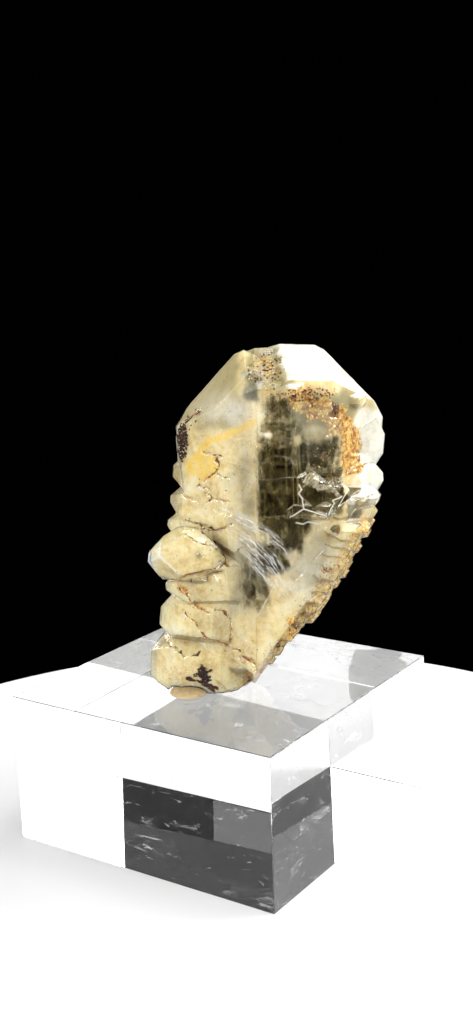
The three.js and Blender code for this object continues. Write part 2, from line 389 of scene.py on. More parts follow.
# The large individual's flat faces, as (outward direction, a place on the face) in three axes.
LARGE_FACES = [
    ((-0.06, -0.998, 0.0), (-4.5, -6.95, 24.5)),
    ((-0.6, -0.8, 0.05), (-9.05, -6.68, 25.3)),
    ((-0.36, -0.86, -0.36), (-7.7, -6.76, 22.95)),
    ((0.27, -0.84, 0.47), (-1.45, -7.13, 25.75)),
    ((0.1, -0.75, -0.65), (-2.5, -7.07, 21.85)),
]

# Iron stain and yellow quartz.
RIGHT_BAND = [(13.4, 48.2), (16.5, 46.4), (19.7, 44.0), (21.6, 40.8), (22.0, 36.6)]
YELLOW_ARC = [(-2.3, 40.3), (-0.5, 42.1), (1.4, 42.8), (3.4, 43.4), (6.0, 44.8)]
YELLOW_RIMS = [[(0.0, 39.4), (0.8, 38.0), (0.2, 37.2)], [(-1.9, 35.6), (-0.8, 36.6)]]
YELLOW_FACET = (-2.0, 37.6)

# Single small features: a painted glint in the window, and an etch pit.
WINDOW_GLINT = (8.4, 43.0)
ETCH_PIT = (-2.9, 24.35)

# Soft boxes on the front, as (share, (left, right, low, high), (softness in x, in z)).
CLEAR_BOXES = [
    (1.0, (6.7, 14.6, 27.0, 41.6), (0.8, 1.4)),
    (0.95, (8.2, 13.4, 24.4, 29.0), (0.8, 1.6)),
]
RAGGED_CLEAR_BOXES = [
    (0.66, (7.8, 12.6, 44.6, 49.0), (1.5, 1.6)),
    (1.0, (13.0, 20.0, 29.6, 36.6), (0.8, 0.8)),
    (0.75, (14.6, 19.4, 35.0, 41.6), (1.0, 1.2)),
    (0.95, (5.8, 10.8, 21.2, 26.0), (1.0, 1.0)),
    (0.8, (4.2, 7.8, 15.6, 22.6), (1.2, 1.6)),
    (0.6, (7.2, 13.0, 40.6, 45.4), (1.0, 0.8)),
]
THIN_BOXES = [
    (0.28, (10.5, 18.5, 17.0, 29.5), (3.5, 4.0)),
    (0.5, (2.0, 7.4, 15.0, 26.0), (1.8, 3.0)),
    (0.35, (3.0, 6.4, 26.0, 41.0), (1.6, 4.0)),
    (0.4, (12.0, 20.0, 38.0, 48.0), (2.0, 2.0)),
    (0.7, (4.7, 7.8, 48.6, 52.3), (0.5, 0.6)),
]
THIN_EDGE_BOXES = [(0.7, (25.9, 29.0, 36.9, 42.2), (0.25, 0.3))]
KHAKI_BOXES = [
    (1.0, (11.0, 23.0, 44.0, 48.6), (1.0, 0.8)),
    (0.85, (-6.0, 4.8, 44.0, 56.0), (1.6, 1.6)),
    (0.3, (4.6, 8.0, 48.4, 52.4), (0.5, 0.8)),
    (1.0, (5.4, 12.0, 49.6, 57.0), (0.7, 0.7)),
    (0.15, (-5.0, 3.6, 15.6, 20.6), (0.5, 0.5)),
    (0.2, (-4.0, 1.6, 9.6, 14.8), (0.5, 0.5)),
    (0.5, (14.0, 20.0, 36.0, 42.0), (1.0, 1.0)),
]
GROWTH_LINE_BOXES = [
    (0.8, (11.0, 13.4, 30.2, 38.4), (0.15, 0.5)),
    (0.3, (10.0, 15.0, 26.5, 42.5), (0.6, 1.5)),
]
# Where the right facets get a painted highlight.
RIGHT_HIGHLIGHT_BOXES = [(1.0, (22.2, 28.0, 30.5, 45.0), (0.8, 0.8))]

# Distances from lines are measured up to this.
FARTHEST = 3.0


def line_distance(places, line):
    """How far (x, z) places are from a line of straight runs, up to FARTHEST."""
    line = np.array(line)
    distance = np.full(len(places), FARTHEST)
    low, high = line.min(axis=0) - FARTHEST, line.max(axis=0) + FARTHEST
    close = np.all((places > low) & (places < high), axis=1)
    near, nearest = places[close], distance[close]
    for start, end in zip(line, line[1:]):
        run = end - start
        share = np.clip((near - start) @ run / (run @ run), 0, 1)
        nearest = np.minimum(nearest, np.hypot(*(near - start - share[:, None] * run).T))
    distance[close] = nearest
    return distance


def lines_distance(places, lines):
    """How far places are from the nearest of the lines."""
    return np.min([line_distance(places, line) for line in lines], axis=0)


def inside(places, outlines):
    """Which (x, z) places are inside an odd number of the closed outlines."""
    x, z = places.T
    within = np.zeros(len(places), bool)
    for outline in outlines:
        for (ax, az), (bx, bz) in zip(outline, outline[1:] + outline[:1]):
            crosses = (az > z) != (bz > z)
            within ^= crosses & (x < ax + (z - az) * (bx - ax) / (bz - az + 1e-12))
    return within


def soft_box(x, z, left, right, low, high, soft_x, soft_z):
    """1 inside a rectangle, falling to 0 at its soft sides."""
    across = step_between(x, left - soft_x, left + soft_x)
    across = across * step_between(-x, -right - soft_x, -right + soft_x)
    upright = step_between(z, low - soft_z, low + soft_z)
    return across * upright * step_between(-z, -high - soft_z, -high + soft_z)


def boxes_share(x, z, boxes):
    """The largest share that any of the soft boxes gives."""
    shares = [share * soft_box(x, z, *sides, *softness) for share, sides, softness in boxes]
    return np.max(shares, axis=0)


def spot(x, z, centre, radii):
    """1 at the centre, falling to 0 well outside the radii."""
    return np.exp(-((x - centre[0]) / radii[0]) ** 2 - ((z - centre[1]) / radii[1]) ** 2)


def clear_share(p):
    """0 where the quartz is milky, 1 where it is clear."""
    wobble = 0.6 * noise_at(p, 2.0, seed=3) + 0.3 * noise_at(p, 0.8, seed=12)
    x, z = p[:, 0], p[:, 2] + wobble
    places = p[:, [0, 2]]
    front = np.maximum(boxes_share(x, z, CLEAR_BOXES), boxes_share(x + wobble, z, RAGGED_CLEAR_BOXES))
    front = np.where(inside(places, WHITE_STEPS), 0.52, front)
    front = np.where(inside(places, DARK_PITS), 1.0, front)
    # The milk stays at the painted glint.
    front = front * (1 - spot(p[:, 0], p[:, 2], WINDOW_GLINT, (0.8, 0.5)))
    back = 0.95 * np.exp(-np.hypot((x - 12.0) / 10.0, (z - 33) / 20) ** 4)
    return np.where(p[:, 1] < MILK_FRONT, front, back)


def thin_share(p):
    """Where the milk is thin enough to see some dark through it."""
    wobble = 0.9 * noise_at(p, 3.0, seed=13)
    front = np.max([
        boxes_share(p[:, 0] + wobble, p[:, 2] + wobble, THIN_BOXES),
        boxes_share(p[:, 0], p[:, 2], THIN_EDGE_BOXES),
        0.75 * inside(p[:, [0, 2]], [GREY_FACET]),
    ], axis=0)
    return np.where(p[:, 1] < MILK_FRONT, front, 0.2)


def khaki_and_shade_share(p, normals):
    """Where the quartz is greyer and darker than the rest, and painted shade on faces that point down.
    """
    wobble = 0.8 * noise_at(p, 2.4, seed=14)
    front = np.maximum(
        boxes_share(p[:, 0] + wobble, p[:, 2] + wobble, KHAKI_BOXES),
        1.2 * spot(p[:, 0], p[:, 2], ETCH_PIT, (0.5, 0.6)),
    )
    is_seen = (p[:, 1] < SEAM_FRONT) | (normals[:, 2] > 0.35)
    # Painted shade: faces that point down are darker.
    painted_underside_shade = 0.3 * step_between(-normals[:, 2], 0.2, 0.6)
    return np.maximum(np.where(is_seen, front, 0.3), painted_underside_shade)


def rim_distance(p):
    """How far a point is above the toothed lower right rim, in the plane of the front."""
    return 0.605 * (p[:, 2] - 3.0) - 0.796 * (p[:, 0] - 7.9)


def stain_share(p):
    """How thickly iron minerals coat the quartz."""
    x, z = p[:, 0], p[:, 2]
    rough = noise_at(p, 1.6, seed=4)
    places = p[:, [0, 2]] + 0.5 * rough[:, None]
    rim = 0.78 * step_between(-rim_distance(p), -6.4 + rough, -2.0) * step_between(30.0 - z, 0.0, 3.0)
    right = 0.95 * step_between(-line_distance(places, RIGHT_BAND), -2.9, -1.2)
    crown = 0.75 * spot(x, z, (8.4, 52.8), (3.0, 3.0))
    joint = spot(x, z, (-5.7, 18.5), (1.0, 1.0)) + 0.8 * spot(x, z, (-3.4, 15.6), (1.1, 0.9))
    edge = 0.5 * spot(x, z, (0.5, 8.8), (3.2, 1.2))
    foot = 0.5 * spot(x, z, (-6.5, 3.2), (2.6, 1.8))
    patch = 0.55 * spot(x, z, (17.0, 38.6), (2.0, 3.2))
    front = np.max([right, crown, joint, edge, foot, patch], axis=0)
    back = 0.75 * np.clip(noise_at(p, 6.5, seed=5) - 0.15, 0, 1)
    return np.clip(np.maximum(rim, np.where(p[:, 1] < SEAM_FRONT, front, back)), 0, 1)


def white_and_highlight_share(p, normals):
    """Where the quartz is whiter than the cream of the rest, with painted highlights on the roof, the
    right facets and the left edge, a painted sheen near the crown and a painted glint.
    """
    x, z = p[:, 0], p[:, 2]
    wobble = 0.8 * noise_at(p, 2.0, seed=6)
    faces_up = step_between(normals[:, 2], 0.3, 0.5)
    # Painted highlight on the roof facets that face up, right of the crown.
    right_of_crown = step_between(x + 0.35 * (z - 50) + wobble, 11.4, 13.2)
    roof_highlight = 0.95 * faces_up * right_of_crown * step_between(z, 43, 45)
    # Painted highlight on the right facets.
    right_facet_highlight = boxes_share(x + wobble, z + wobble, RIGHT_HIGHLIGHT_BOXES)
    pale = 0.6 * spot(x, z, YELLOW_FACET, (2.0, 1.7))
    # Painted highlight along the large individual's left edge.
    left_edge_highlight = 0.7 * spot(x + wobble, z, (-10.6, 24.5), (1.2, 4.0))
    fade = 0.55 * spot(x + wobble, z + wobble, (14.5, 20.5), (4.5, 4.5))
    # shine is a painted sheen, and glint a painted glint.
    shine = 0.6 * spot(x + wobble, z + wobble, (3.0, 46.5), (4.5, 2.5))
    glint = spot(x, z, WINDOW_GLINT, (0.7, 0.45))
    steps = 0.7 * (inside(p[:, [0, 2]], WHITE_STEPS) & (p[:, 1] < 0))
    return np.clip(np.max([roof_highlight, right_facet_highlight, pale, left_edge_highlight, fade, shine, steps, glint], axis=0), 0, 1)


def yellow_share(p):
    """Where the quartz is stained yellow: an arc, the facet under it and the facet's rims."""
    places = p[:, [0, 2]] + 0.35 * noise_at(p, 1.3, seed=7)[:, None]
    arc = 0.9 * step_between(-line_distance(places, YELLOW_ARC), -0.9, -0.1)
    rim = step_between(-lines_distance(places, YELLOW_RIMS), -0.6, -0.1)
    from_middle = (places - YELLOW_FACET) / (2.5, 2.2)
    facet = step_between(-np.hypot(*from_middle.T), -1.15, -0.85)
    return np.where(p[:, 1] < STAIN_FRONT, np.max([arc, facet, rim], axis=0), 0)


# ---- the crystal's clear skin ----

def quartz_material():
    """Clear quartz with growth lines across its faces and a smoky inside."""
    m = Material("clear_quartz")
    growth = m.noise(m.place((1, 4, 12)), 0.32, 5.0, 0.7)
    grain = m.noise(m.place(), 0.6, 6.0, 0.6)
    height = m.maths("ADD", m.maths("MULTIPLY", growth, 0.5), m.maths("MULTIPLY", grain, 0.4))
    rough = m.span(m.noise(m.place(), 1.4, 5.0, 0.6), 0.4, 0.75, 0.02, 0.14)
    m.glass({
        "Base Color": (1.0, 0.99, 0.97), "Roughness": rough, "IOR": QUARTZ_IOR,
        "Normal": m.bump(height, 0.25, 0.2),
    }, (0.95, 0.94, 0.91))
    smoke = m.node("VolumeAbsorption", {"Color": (0.72, 0.66, 0.42, 1), "Density": 26.0})
    m.tree.links.new(smoke.outputs[0], m.output.inputs["Volume"])
    return m.data


# How long the skin's edges may be.
EDGE_AT_STEPS = 0.18
EDGE_AT_SEAMS = 0.32
EDGE_ON_FRONT = 0.70
EDGE_ON_BACK = 0.95

# The skin's relief. Clean seams count as FINE_SEAM_OFFSET further off, so they are cut less deep.
SEAM_DEPTH = 0.13
SEAM_HALF_WIDTH = 0.2
FINE_SEAM_OFFSET = 0.14
STEP_HEIGHT = 0.12
MOST_CUT = 1.2
# The skin stays this far under the CAD crystal's top.
TOP_CLEARANCE = 0.005


def is_large_individual(points):
    """Which points are on the individual that stands out to the left."""
    x, y, z = points.T
    return (x < 1.0) & (y < -4.6) & (z > 20.4) & (z < 28.8)


def cut_flat(points):
    """Gives the large individual its flat crystal faces."""
    for direction, place in LARGE_FACES:
        direction = np.array(direction) / np.linalg.norm(direction)
        above = np.clip((points - place) @ direction, 0, MOST_CUT) * is_large_individual(points)
        points = points - above[:, None] * direction
    return points


def edge_limit(middles):
    """How long the skin's edges may be, by where their middles are."""
    places = middles[:, [0, 2]]
    near_steps = lines_distance(places, WINDOW_EDGES + WHITE_STEPS + DARK_PITS) < 0.45
    near_seam = lines_distance(places, DARK_SEAMS + RUST_SEAMS + FINE_SEAMS) < 0.5
    is_fine = near_seam | is_large_individual(middles)
    is_crown = (middles[:, 2] > 48) & (middles[:, 1] < 6)
    is_front = (middles[:, 1] < SEAM_FRONT) | is_crown
    front = np.where(near_steps, EDGE_AT_STEPS, np.where(is_fine, EDGE_AT_SEAMS, EDGE_ON_FRONT))
    return np.where(is_front, front, EDGE_ON_BACK)


def crystal_skin():
    """The CAD crystal with its cut faces, growth relief and grooved seams.

    Returns the piece, and its points, faces, normals and distances from seams in its own axes.
    """
    points, faces = arrays_of(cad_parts["gwindel_crystal"].data)
    points = moved(points, to_specimen)
    top = points[:, 2].max()
    points, faces = refined(points, faces, EDGE_AT_STEPS, edge_limit)
    points = cut_flat(points)
    normals = point_normals(points, faces)
    places = points[:, [0, 2]]
    is_front = points[:, 1] < SEAM_FRONT

    wavy = places + 0.22 * noise_at(points, 0.8, seed=8)[:, None]
    filled = lines_distance(wavy, DARK_SEAMS + RUST_SEAMS)
    clean = FINE_SEAM_OFFSET + lines_distance(wavy, FINE_SEAMS)
    seam = np.where(is_front, np.minimum(filled, clean), lines_distance(wavy, BACK_SEAMS))

    faces_front = step_between(np.abs(normals[:, 1]), 0.8, 0.95)
    terraces = np.round(noise_at(points, (1.6, 3, 4.5), seed=9) * 2.5) / 2.5
    relief = (
        0.03 * noise_at(points, 2.6, seed=1) + 0.018 * noise_at(points, 0.9, seed=2)
        + 0.02 * faces_front * noise_at(points, (0.35, 2, 9), seed=10) + 0.03 * terraces
        - SEAM_DEPTH * np.exp(-(seam / SEAM_HALF_WIDTH) ** 2)
    )
    relief += STEP_HEIGHT * (inside(places, WHITE_STEPS) & is_front)
    relief -= STEP_HEIGHT * (inside(places, DARK_PITS) & is_front)
    points = points + normals * relief[:, None]
    points[:, 2] = np.minimum(points[:, 2], top - TOP_CLEARANCE)
    piece = mesh_object("gwindel_skin", moved(points, to_row), faces, smooth_angle=FACET_ANGLE)
    return piece, points, faces, normals, seam


skin, skin_points, skin_faces, skin_normals, seam_distance = crystal_skin()
dress(skin, quartz_material(), "gwindel_crystal")
skin_tree = BVHTree.FromPolygons(skin_points.tolist(), skin_faces.tolist())


# A side of the crystal is the sign of y there. Rays to it start at OUTSIDE, clear of the crystal.
FRONT, BACK = -1, 1
OUTSIDE = 60


def surface_at(x, z, side=FRONT):
    """The place on the skin's front or back at (x, z), and its outward direction."""
    start, direction = Vector((x, OUTSIDE * side, z)), Vector((0, -side, 0))
    place, outward, _, _ = skin_tree.ray_cast(start, direction)
    return place, outward


# ---- the milky body inside ----

def milk_material():
    """Milky quartz, cream to khaki, coated with iron, and see-through in the window."""
    m = Material("milky_quartz")
    place = m.place()
    clouds = m.noise(place, 4.5, 6.0, 0.62, 0.5)
    fine = m.noise(place, 0.9, 6.0, 0.65)

    # Cream clouds with pale and brown mottling and pale veins.
    colour = m.ramp(
        clouds, (0.34, (0.58, 0.44, 0.18)), (0.46, (0.78, 0.63, 0.31)), (0.56, (0.88, 0.76, 0.44)),
        (0.68, (0.95, 0.88, 0.64)),
    )
    colour = m.mixed(m.span(fine, 0.5, 0.75, 0.0, 0.75), colour, (0.92, 0.87, 0.70))
    colour = m.mixed(m.span(fine, 0.5, 0.3, 0.0, 0.3), colour, (0.52, 0.38, 0.14))
    folds = m.maths("SUBTRACT", m.noise(place, 2.4, 4.0, 0.6, 0.8), 0.5)
    veins = m.span(m.maths("ABSOLUTE", folds), 0.0, 0.05, 0.35, 0.0)
    colour = m.mixed(veins, colour, (0.88, 0.84, 0.70))

    # Khaki zones with painted shade on faces that point down, white zones with painted highlights,
    # yellow zones, and what fills the seams.
    colour = m.mixed(m.attribute("khaki"), colour, (0.38, 0.33, 0.17))
    white = m.maths("MULTIPLY", m.attribute("white"), m.span(fine, 0.3, 0.55, 0.5, 1.0))
    colour = m.mixed(white, colour, (0.94, 0.94, 0.90))
    yellow = m.maths("MULTIPLY", m.attribute("yellow"), m.span(fine, 0.35, 0.65, 0.35, 1.0))
    colour = m.mixed(yellow, colour, (0.93, 0.66, 0.10))
    gaps = m.span(m.noise(place, 0.7, 5.0, 0.7), 0.35, 0.65, -0.6, 0.1)
    seam = m.maths("ADD", m.attribute("seam"), gaps)
    seam_colour = m.ramp(
        m.noise(place, 2.2, 2.0), (0.42, (0.06, 0.025, 0.012)), (0.6, (0.42, 0.17, 0.04)),
    )
    colour = m.mixed(m.span(seam, 0.25, 0.6), colour, seam_colour)

    # The window: how clear it is, with a ragged border, and the smoky colour left in it.
    streaks = m.noise(m.place((0.45, 1, 7)), 1.1, 5.0, 0.6)
    clear = m.maths("ADD", m.attribute("clear"), m.span(streaks, 0.3, 0.7, -0.12, 0.12))
    clear = m.maths("ADD", clear, m.span(fine, 0.3, 0.7, -0.22, 0.22))
    smoke = m.ramp(m.noise(place, 1.8, 4.0), (0.4, (0.14, 0.10, 0.025)), (0.6, (0.36, 0.30, 0.10)))
    colour = m.mixed(m.span(clear, 0.3, 0.8), colour, smoke)

    # Iron coat, and the painted highlights on the step edges over everything.
    grains = m.noise(place, 0.45, 6.0, 0.75)
    coat = m.span(m.maths("ADD", grains, m.maths("MULTIPLY", m.attribute("stain"), 0.38)), 0.72, 0.84)
    coat_colour = m.ramp(
        m.noise(place, 0.8, 4.0, 0.7), (0.34, (0.12, 0.03, 0.01)), (0.43, (0.42, 0.15, 0.02)),
        (0.52, (0.70, 0.42, 0.06)), (0.62, (0.85, 0.67, 0.26)),
    )
    colour = m.mixed(coat, colour, coat_colour)
    colour = m.mixed(m.attribute("edges"), colour, (0.90, 0.89, 0.84))

    # Thin places, which show some dark through a greyer milk.
    thin = m.maths("MULTIPLY", m.attribute("thin"), m.span(clouds, 0.35, 0.65, 1.2, 0.7))
    colour = m.mixed(thin, colour, (0.62, 0.63, 0.54))

    # What stays in front of the dark inside: milk, wisps, growth lines, step edges and coat.
    milk = m.maths("MULTIPLY", m.span(clear, 0.1, 0.85, 1.0, 0.0), m.maths("SUBTRACT", 1.0, thin))
    wisps = m.span(m.noise(m.place((1, 1, 1.8)), 1.3, 7.0, 0.72, 0.6), 0.42, 0.66, 0.0, 0.7)
    wisps = m.maths("MULTIPLY", wisps, m.attribute("film"))
    lines = m.span(m.noise(m.place((0.22, 1, 18)), 1.0, 3.0, 0.6), 0.5, 0.62)
    lines = m.maths("MULTIPLY", lines, m.attribute("lines"))
    film = m.maths("MAXIMUM", m.maths("MAXIMUM", wisps, lines), m.attribute("edges"))
    film = m.maths("MAXIMUM", film, m.maths("MULTIPLY", coat, 0.85))
    m.principled({
        "Base Color": colour, "Roughness": 0.55, "Alpha": m.maths("MAXIMUM", milk, film),
        "Subsurface Weight": 0.9, "Subsurface Radius": (1.0, 0.85, 0.6), "Subsurface Scale": 0.0032,
    })
    return m.data


def milky_body():
    """The milk just under the skin, with what its material reads at each point."""
    depth = 0.14 + 0.12 * np.clip(noise_at(skin_points, 3.0, seed=11), 0, 1)
    points = skin_points - skin_normals * depth[:, None]
    piece = mesh_object("milky_body", moved(points, to_row), skin_faces, smooth_angle=FACET_ANGLE)
    x, y, z = skin_points.T
    places = skin_points[:, [0, 2]]
    set_attribute(piece, "clear", clear_share(skin_points))
    set_attribute(piece, "thin", thin_share(skin_points))
    set_attribute(piece, "lines", np.where(y < MILK_FRONT, boxes_share(x, z, GROWTH_LINE_BOXES), 0))
    # Painted highlights along the step edges and outlines.
    edge = lines_distance(places, WINDOW_EDGES + LARGE_EDGES + [DARK_PITS[0], GREY_FACET])
    set_attribute(piece, "edges", np.where(y < STAIN_FRONT, np.exp(-(edge / 0.14) ** 2), 0))
    film = np.where(x + 0.8 * noise_at(skin_points, 2.0, seed=15) < 11, 0.75, 0.25)
    set_attribute(piece, "film", np.where(y < MILK_FRONT, film, 1.0))
    set_attribute(piece, "khaki", khaki_and_shade_share(skin_points, skin_normals))
    set_attribute(piece, "stain", stain)
    set_attribute(piece, "white", white_and_highlight_share(skin_points, skin_normals))
    set_attribute(piece, "yellow", yellow_share(skin_points))
    set_attribute(piece, "seam", np.exp(-(seam_distance / 0.17) ** 2))
    return piece


stain = stain_share(skin_points)
dress(milky_body(), milk_material())


# ---- iron and manganese minerals on the crystal ----

def grain_mesh(name, grains, seed):
    """Irregular grains, half sunk. Each is (place, outward, along, length, width, height, shade)."""
    rng = np.random.default_rng(seed)
    shape = bmesh.new()
    bmesh.ops.create_icosphere(shape, subdivisions=1, radius=0.5)
    ball = np.array([corner.co for corner in shape.verts])
    ball_faces = np.array([[corner.index for corner in face.verts] for face in shape.faces])
    shape.free()
    points, faces, shades = [], [], []
    for place, outward, along, length, width, height, shade in grains:
        outward = np.array(outward) / np.linalg.norm(outward)
        along = np.array(along) - outward * (outward @ np.array(along))
        along = along / max(np.linalg.norm(along), 1e-9)
        axes = np.stack([along * length, np.cross(outward, along) * width, outward * height])
        lumpy = ball * rng.uniform(0.6, 1.3, (len(ball), 1))
        faces.append(ball_faces + len(ball) * len(points))
        points.append(np.array(place) + lumpy @ axes)
        shades.append(np.full(len(ball), shade))
    piece = mesh_object(name, moved(np.vstack(points), to_row), np.vstack(faces), smooth_angle=50)
    set_attribute(piece, "shade", np.concatenate(shades))
    return piece


def iron_material():
    """Limonite, from black through rust to pale orange by each grain's shade."""
    m = Material("limonite")
    mottling = m.span(m.noise(m.place(), 0.25, 4.0), 0.3, 0.7, -0.12, 0.12)
    colour = m.ramp(
        m.maths("ADD", m.attribute("shade"), mottling), (0.0, (0.008, 0.005, 0.004)),
        (0.35, (0.10, 0.032, 0.012)), (0.6, (0.50, 0.20, 0.035)), (0.8, (0.80, 0.48, 0.12)),
        (1.0, (0.86, 0.72, 0.45)),
    )
    m.principled({
        "Base Color": colour, "Roughness": m.span(m.noise(m.place(), 0.3), 0.3, 0.7, 0.45, 0.8),
        "Normal": m.bump(m.noise(m.place(), 0.08, 4.0), 0.5, 0.05),
    })
    return m.data


def scattered(count, weights, seed, sizes, shades):
    """Grains on random faces of the skin, more where the points' weights are high."""
    rng = np.random.default_rng(seed)
    area = np.linalg.norm(face_normals(skin_points, skin_faces), axis=1)
    chance = area * weights[skin_faces].mean(axis=1)
    picks = rng.choice(len(skin_faces), count, p=chance / chance.sum())
    corners = skin_points[skin_faces[picks]]
    share = rng.dirichlet((1, 1, 1), count)[:, :, None]
    places = (corners * share).sum(axis=1)
    outward = skin_normals[skin_faces[picks]].mean(axis=1)
    size = rng.uniform(*sizes, count) * rng.uniform(0.6, 1.0, count)
    along = rng.normal(size=(count, 3))
    grains = []
    for i in range(count):
        length = size[i] * rng.uniform(1, 2)
        shade = rng.uniform(*shades)
        grains.append((places[i], outward[i], along[i], length, size[i], size[i] * 0.5, shade))
    return grains


def along_lines(lines, seed, every, sizes, shades, side=FRONT, spread=0.12, gap=0.35):
    """Flat grains strung along lines on the skin, with more gaps the higher `gap` is."""
    rng = np.random.default_rng(seed)
    grains = []
    for line in lines:
        line = np.array(line)
        for start, end in zip(line, line[1:]):
            run = end - start
            reach = np.linalg.norm(run)
            for share in np.arange(0, 1, every / reach):
                x, z = start + run * share + rng.normal(0, spread, 2)
                if noise.noise(Vector((x * 0.8, seed, z * 0.8))) * NOISE_GAIN < gap - 0.7:
                    continue
                place, outward = surface_at(x, z, side)
                if place is None:
                    continue
                size = rng.uniform(*sizes)
                along = (run[0], 0, run[1]) + rng.normal(0, 0.3, 3) * reach
                shade = rng.uniform(*shades)
                grains.append((place, outward, along, size * 2.2, size, size * 0.5, shade))
    return grains


def clump(centre, radii, count, seed, sizes, shades, tilt=0.0):
    """Grains heaped in a ragged, tilted oval patch on the front."""
    rng = np.random.default_rng(seed)
    grains = []
    for _ in range(count):
        angle, share = rng.uniform(0, 2 * math.pi), math.sqrt(rng.uniform())
        u, v = radii[0] * share * math.cos(angle), radii[1] * share * math.sin(angle)
        x = centre[0] + u * math.cos(tilt) - v * math.sin(tilt)
        z = centre[1] + u * math.sin(tilt) + v * math.cos(tilt)
        place, outward = surface_at(x, z)
        if place is not None:
            size = rng.uniform(*sizes) * (1.2 - 0.6 * share)
            along = rng.normal(size=3)
            shade = rng.uniform(*shades)
            grains.append((place, outward, along, size * 1.5, size, size * 0.6, shade))
    return grains


def clumps(*patches):
    """The grains of several clumps, one after another."""
    return [grain for patch in patches for grain in clump(*patch)]


is_left_front = (skin_points[:, 0] < 6) & (skin_normals[:, 1] < 0.3)
left_front = np.where(is_left_front, 1.0, 0.15)
iron = (
    scattered(2400, stain ** 1.5, seed=21, sizes=(0.10, 0.32), shades=(0.62, 1.05))
    + scattered(450, stain, seed=22, sizes=(0.08, 0.26), shades=(0.0, 0.45))
    + along_lines(RUST_SEAMS, seed=23, every=0.16, sizes=(0.06, 0.17), shades=(0.3, 0.9), spread=0.2)
    + along_lines(DARK_SEAMS, seed=24, every=0.2, sizes=(0.05, 0.12), shades=(0.0, 0.6), spread=0.14)
    + along_lines(BACK_SEAMS, seed=25, every=0.2, sizes=(0.08, 0.2), shades=(0.0, 0.8), side=BACK)
    + scattered(520, left_front, seed=44, sizes=(0.07, 0.19), shades=(0.1, 0.7))
    + clumps(
        # Each is centre, radii, count, seed, sizes and shades.
        ((8.7, 52.4), (3.0, 2.6), 90, 45, (0.2, 0.4), (0.0, 0.35)),
        ((14.2, 48.9), (5.4, 1.1), 110, 46, (0.16, 0.34), (0.0, 0.6)),
        ((-7.4, 3.4), (2.2, 1.7), 60, 47, (0.06, 0.16), (0.1, 0.7)),
        ((-5.7, 18.5), (1.0, 0.7), 60, 26, (0.1, 0.25), (0.4, 0.9)),
        ((11.4, 13.2), (0.9, 0.7), 40, 27, (0.15, 0.35), (0.6, 0.9)),
        ((16.9, 21.1), (1.0, 0.5), 40, 28, (0.12, 0.3), (0.2, 0.6)),
        ((23.3, 27.5), (1.0, 0.9), 40, 29, (0.15, 0.4), (0.7, 0.95)),
    )
)
dress(grain_mesh("iron_grains", iron, seed=30), iron_material())

FOOT_STREAKS = [
    [(-5.7, 2.9), (-4.5, 2.5)],
    [(-3.8, 2.5), (-2.4, 1.8), (-0.9, 1.1)],
    [(-2.8, 1.9), (-1.2, 0.8)],
]
SHOULDER_STREAKS = [[(-4.7, 44.1), (-3.1, 45.7)], [(-3.9, 43.7), (-2.1, 46.3)]]

manganese = (
    clumps(
        # Each is centre, radii, count, seed, sizes, shades and tilt.
        ((-5.0, 41.2), (0.9, 3.2), 170, 31, (0.25, 0.6), (0.0, 0.25), -0.1),
        ((-3.1, 3.9), (0.85, 1.0), 110, 32, (0.22, 0.5), (0.0, 0.08)),
        ((-2.5, 2.8), (0.75, 0.6), 60, 40, (0.2, 0.42), (0.0, 0.08)),
        ((-4.1, 3.5), (0.6, 0.3), 26, 41, (0.14, 0.3), (0.0, 0.12), 0.3),
        ((-3.2, 4.9), (0.25, 0.45), 16, 42, (0.14, 0.26), (0.0, 0.12)),
        ((-1.9, 4.2), (0.45, 0.22), 18, 43, (0.14, 0.26), (0.0, 0.12), 0.5),
    )
    + along_lines(
        FOOT_STREAKS, seed=33, every=0.08, sizes=(0.2, 0.42), shades=(0.0, 0.3),
        spread=0.14, gap=0,
    )
    + along_lines(
        SHOULDER_STREAKS, seed=34, every=0.12, sizes=(0.12, 0.3), shades=(0.0, 0.3),
        spread=0.2, gap=0.5,
    )
    + clumps(
        ((18.9, 46.1), (0.7, 1.1), 60, 35, (0.15, 0.35), (0.05, 0.4)),
        ((24.6, 25.8), (0.5, 0.4), 20, 36, (0.2, 0.35), (0.0, 0.3)),
        ((9.1, 8.8), (0.4, 0.9), 30, 37, (0.15, 0.3), (0.0, 0.3)),
    )
)
dress(grain_mesh("manganese_grains", manganese, seed=38), iron_material())


# ---- veils inside ----

VEIL_DEPTH = 0.07
VEIL_ROWS = 90
VEIL_COLUMNS = 17
# The veils run down to the right, so this direction, in (x, z), crosses them.
ACROSS_VEILS = (0.6, 0.8)
# Each is a name, the line it follows, its half width and its seed.
VEILS = [
    (
        "upper_veil",
        [(-0.1, 32.5), (2.9, 30.3), (5.2, 28.8), (7.5, 27.6), (9.8, 25.6), (11.8, 23.1)],
        1.3, 9.9,
    ),
    ("lower_veil", [(3.0, 24.9), (5.8, 22.5), (6.9, 20.9), (8.6, 18.4)], 0.9, 13.0),
    ("wide_veil", [(1.6, 28.4), (4.6, 26.4), (8.0, 22.6), (11.5, 17.5)], 2.4, 10.6),
    ("foot_veil", [(10.0, 22.0), (8.0, 17.5), (5.0, 12.5), (3.4, 9.5)], 2.2, 19.0),
]


def veil_material():
    """A healed fracture: white streaks along the sheet, fading at its borders."""
    m = Material("healed_fracture")
    flow = m.node("CombineXYZ", {"X": m.attribute("along"), "Y": m.attribute("across")}).outputs[0]
    streaks = m.noise(flow, 1.0, 6.0, 0.7, 0.6)
    alpha = m.maths("MULTIPLY", m.span(streaks, 0.46, 0.66, 0.0, 0.95), m.attribute("body"))
    m.principled({"Base Color": (0.95, 0.96, 0.95), "Roughness": 0.4, "Alpha": alpha})
    return m.data


